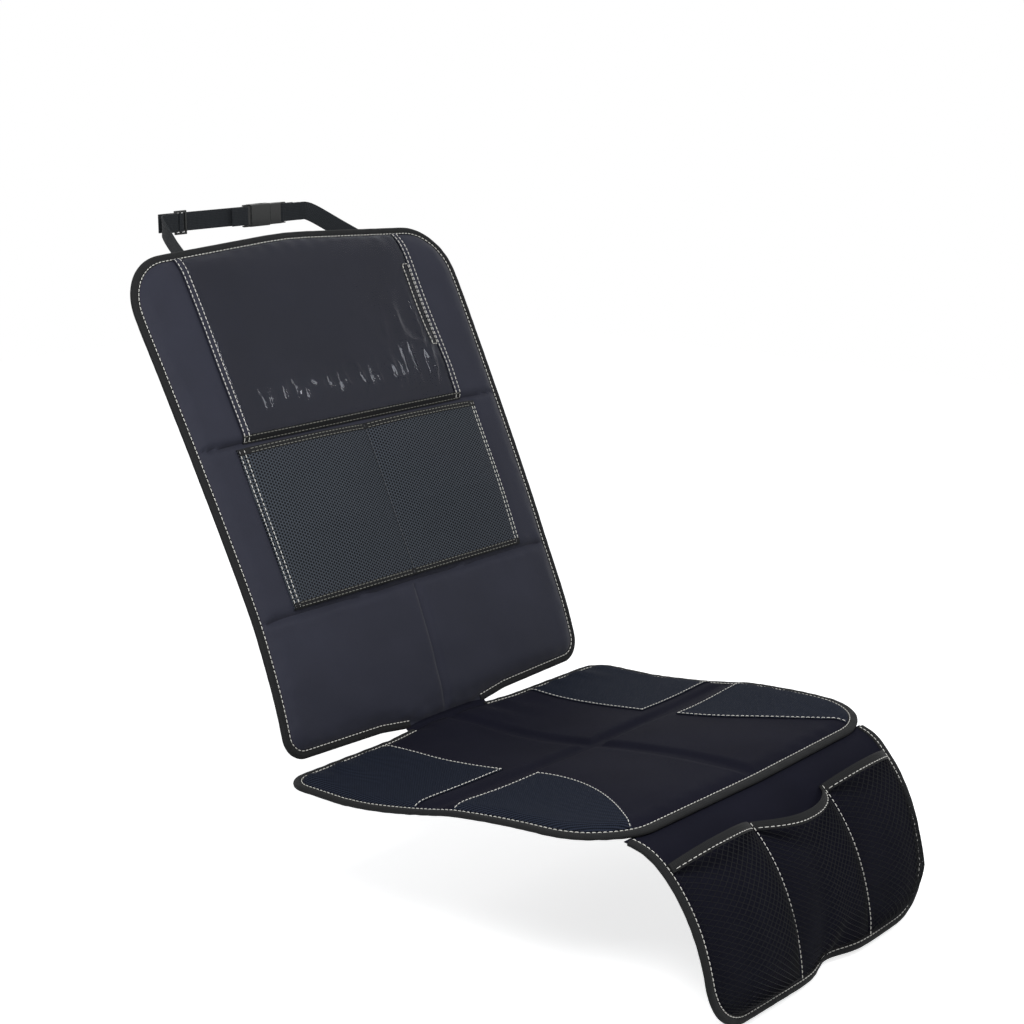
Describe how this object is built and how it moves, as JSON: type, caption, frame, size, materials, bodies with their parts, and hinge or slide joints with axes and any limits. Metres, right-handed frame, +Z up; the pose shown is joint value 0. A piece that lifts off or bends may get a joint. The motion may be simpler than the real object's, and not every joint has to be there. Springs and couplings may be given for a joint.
{
  "type": "car seat protector",
  "caption": "Quilted fabric mat that covers a car seat's back and cushion under a child seat, with a tablet window, mesh and net pockets, a front flap and a buckled headrest strap",
  "frame": {"origin": "middle of the crease between the back panel and the seat panel, at mid thickness", "axes": "+Z up; +Y to the rear, towards the back panel and the headrest strap; +X across the mat, to the right as seen from the front; the front flap hangs at -Y"},
  "size_m": [0.5042, 0.8015, 0.6728],
  "materials": {
    "polyester": "plain-woven black polyester with a PVC backcoat, soft sheen",
    "twill": "matt hard-wearing twill",
    "binding": "grosgrain binding tape, top-stitched in off-white thread",
    "backing": "dotted non-slip backing cloth",
    "foam": "sheet foam between face and backing",
    "spacer_mesh": "honeycomb spacer mesh",
    "net": "open knotted netting",
    "film": "clear glossy touch-through film",
    "webbing": "ribbed polypropylene webbing",
    "plastic": "moulded, satin",
    "closure": "hook-and-loop pile"
  },
  "bodies": {
    "root": {"back_face": "polyester", "back_backing": "backing", "back_binding": "binding", "foam_back_top": "foam", "foam_back_middle": "foam", "foam_back_bottom_left": "foam", "foam_back_bottom_right": "foam", "seat_face": "polyester", "seat_backing": "backing", "seat_binding": "binding", "foam_seat_front_left": "foam", "foam_seat_front_right": "foam", "foam_seat_rear_left": "foam", "foam_seat_rear_right": "foam", "corner_patch_rear_left": "twill", "corner_patch_rear_right": "twill", "corner_patch_front_left": "twill", "corner_patch_front_right": "twill", "mesh_pocket_left": "spacer_mesh", "mesh_pocket_right": "spacer_mesh", "pocket_mouth_hem_left": "binding", "pocket_mouth_hem_right": "binding", "pocket_foot_hem_left": "binding", "pocket_foot_hem_right": "binding", "tablet_window": "film", "window_foot_strip": "polyester", "window_side_strip_left": "polyester", "window_side_strip_right": "polyester", "closure_loop_strip": "closure", "closure_hook_strip": "closure", "flap_panel": "polyester", "flap_binding": "binding", "net_pocket_left": "net", "net_pocket_middle": "net", "net_pocket_right": "net", "net_mouth_tape_left": "binding", "net_mouth_tape_middle": "binding", "net_mouth_tape_right": "binding", "webbing_tab_left": "webbing", "webbing_left": "webbing", "webbing_right": "webbing", "strap_slider": "plastic", "buckle_socket": "plastic", "buckle_plug": "plastic"}
  },
  "joints": []
}
